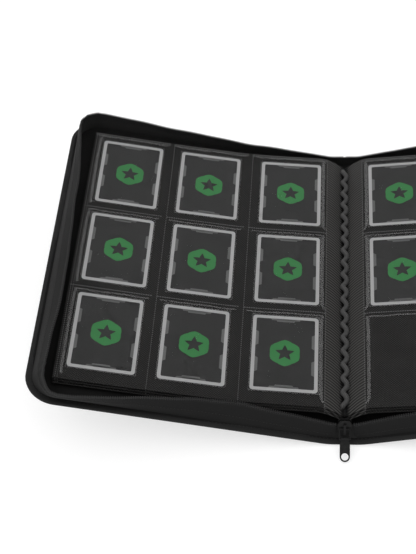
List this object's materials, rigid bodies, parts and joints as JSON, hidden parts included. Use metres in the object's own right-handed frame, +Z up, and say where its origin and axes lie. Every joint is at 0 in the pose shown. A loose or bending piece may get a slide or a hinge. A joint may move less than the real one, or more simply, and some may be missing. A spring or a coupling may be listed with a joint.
{
  "type": "zip-up card binder",
  "caption": "Zip-around card binder lying open on its spine: padded covers with soft walls, side-loading pocket leaves, laced gutter and a zip slider with a long pull.",
  "frame": {"origin": "middle of the flat underside of the spine, on the surface that the binder rests on", "axes": "+X to the right across the opening, +Y from tail to head along the spine, +Z up"},
  "size_m": [0.586, 0.3886, 0.09],
  "materials": {
    "outer_skin": "matt synthetic leather",
    "turned_edge": "matt synthetic leather, turned and stitched",
    "foam": "closed-cell foam",
    "board": "grey board",
    "lining": "brushed lining cloth",
    "wall_fabric": "soft padded cloth",
    "zip_tape": "woven tape",
    "zip_teeth": "moulded nylon",
    "leaf_sheet": "embossed polypropylene",
    "pocket_film": "clear film",
    "sleeve_film": "clear sleeve",
    "card": "coated card with a printed border",
    "binding": "woven binding tape",
    "lacing": "twisted cord",
    "slider_metal": "black lacquered zinc"
  },
  "bodies": {
    "spine": {"binding_strip": "binding", "gutter_lacing": "lacing", "spine_board": "board", "spine_gusset_top": "wall_fabric", "spine_lining": "lining", "spine_skin": "outer_skin"},
    "front_cover": {"front_cover_board": "board", "front_cover_edge": "turned_edge", "front_cover_foam": "foam", "front_cover_lining": "lining", "front_cover_skin": "outer_skin", "front_wall_bottom": "wall_fabric", "front_wall_side": "wall_fabric", "front_wall_top": "wall_fabric", "front_zip_end_stop": "zip_teeth", "front_zip_tape": "zip_tape", "front_zip_teeth": "zip_teeth"},
    "back_cover": {"back_cover_board": "board", "back_cover_edge": "turned_edge", "back_cover_foam": "foam", "back_cover_lining": "lining", "back_cover_skin": "outer_skin", "back_wall_bottom": "wall_fabric", "back_wall_side": "wall_fabric", "back_wall_top": "wall_fabric", "back_zip_end_stop": "zip_teeth", "back_zip_tape": "zip_tape", "back_zip_teeth": "zip_teeth"},
    "left_leaves": {"left_hinge_tape": "binding", "left_leaf_2_front_pockets": "pocket_film", "left_leaf_2_rear_pockets": "pocket_film", "left_leaf_2_sheet": "leaf_sheet", "left_leaf_3_front_pockets": "pocket_film", "left_leaf_3_rear_pockets": "pocket_film", "left_leaf_3_sheet": "leaf_sheet"},
    "top_leaf": {"left_card_sleeves": "sleeve_film", "left_cards": "card", "left_leaf_1_front_pockets": "pocket_film", "left_leaf_1_rear_pockets": "pocket_film", "left_leaf_1_sheet": "leaf_sheet"},
    "right_leaves": {"right_card_sleeves": "sleeve_film", "right_cards": "card", "right_hinge_tape": "binding", "right_leaf_1_front_pockets": "pocket_film", "right_leaf_1_rear_pockets": "pocket_film", "right_leaf_1_sheet": "leaf_sheet", "right_leaf_2_front_pockets": "pocket_film", "right_leaf_2_rear_pockets": "pocket_film", "right_leaf_2_sheet": "leaf_sheet", "right_leaf_3_front_pockets": "pocket_film", "right_leaf_3_rear_pockets": "pocket_film", "right_leaf_3_sheet": "leaf_sheet"},
    "zip_end": {"spine_gusset_bottom": "wall_fabric"},
    "zip_slider": {"slider_bridge": "slider_metal", "zip_slider": "slider_metal"},
    "pull_loop": {"pull_loop": "slider_metal"},
    "pull_blade": {"pull_tab": "slider_metal"}
  },
  "joints": [
    {"name": "front_cover_hinge", "type": "hinge", "parent": "spine", "child": "front_cover", "pos_m": [-0.016, 0, 0.002], "axis": [0, 1, 0], "range_deg": [-13.2, 74.8]},
    {"name": "back_cover_hinge", "type": "hinge", "parent": "spine", "child": "back_cover", "pos_m": [0.016, 0, 0.002], "axis": [0, -1, 0], "range_deg": [-13.2, 74.8]},
    {"name": "left_leaves_swing", "type": "hinge", "parent": "spine", "child": "left_leaves", "pos_m": [-0.014, 0, 0.014], "axis": [0, 1, 0], "range_deg": [-13.74, 77.8]},
    {"name": "right_leaves_swing", "type": "hinge", "parent": "spine", "child": "right_leaves", "pos_m": [0.014, 0, 0.014], "axis": [0, -1, 0], "range_deg": [-13.74, 77.8]},
    {"name": "page_turn", "type": "hinge", "parent": "left_leaves", "child": "top_leaf", "pos_m": [-0.0056, 0, 0.0186], "axis": [0, -1, 0], "range_deg": [-125, 0]},
    {"name": "zip_end_lift", "type": "hinge", "parent": "spine", "child": "zip_end", "pos_m": [0, -0.1722, 0.01533], "axis": [1, 0, 0], "range_deg": [-5.31, 30.02]},
    {"name": "zip_slide", "type": "slide", "parent": "zip_end", "child": "zip_slider", "axis": [0, 0.5, 0.866], "range_m": [0, 0.135]},
    {"name": "pull_loop_swing", "type": "hinge", "parent": "zip_slider", "child": "pull_loop", "pos_m": [0, -0.17711, 0.01563], "axis": [1, 0, 0], "range_deg": [-30.02, 5.31]},
    {"name": "pull_tab_swing", "type": "hinge", "parent": "pull_loop", "child": "pull_blade", "pos_m": [0, -0.18528, 0.01119], "axis": [1, 0, 0], "range_deg": [-100, 30]}
  ],
  "couplings": [
    {"joint": "left_leaves_swing", "follows": "front_cover_hinge", "ratio": 1.04},
    {"joint": "right_leaves_swing", "follows": "back_cover_hinge", "ratio": 1.04},
    {"joint": "zip_end_lift", "follows": "front_cover_hinge", "ratio": 0.40107},
    {"joint": "pull_loop_swing", "follows": "front_cover_hinge", "ratio": -0.40107}
  ]
}
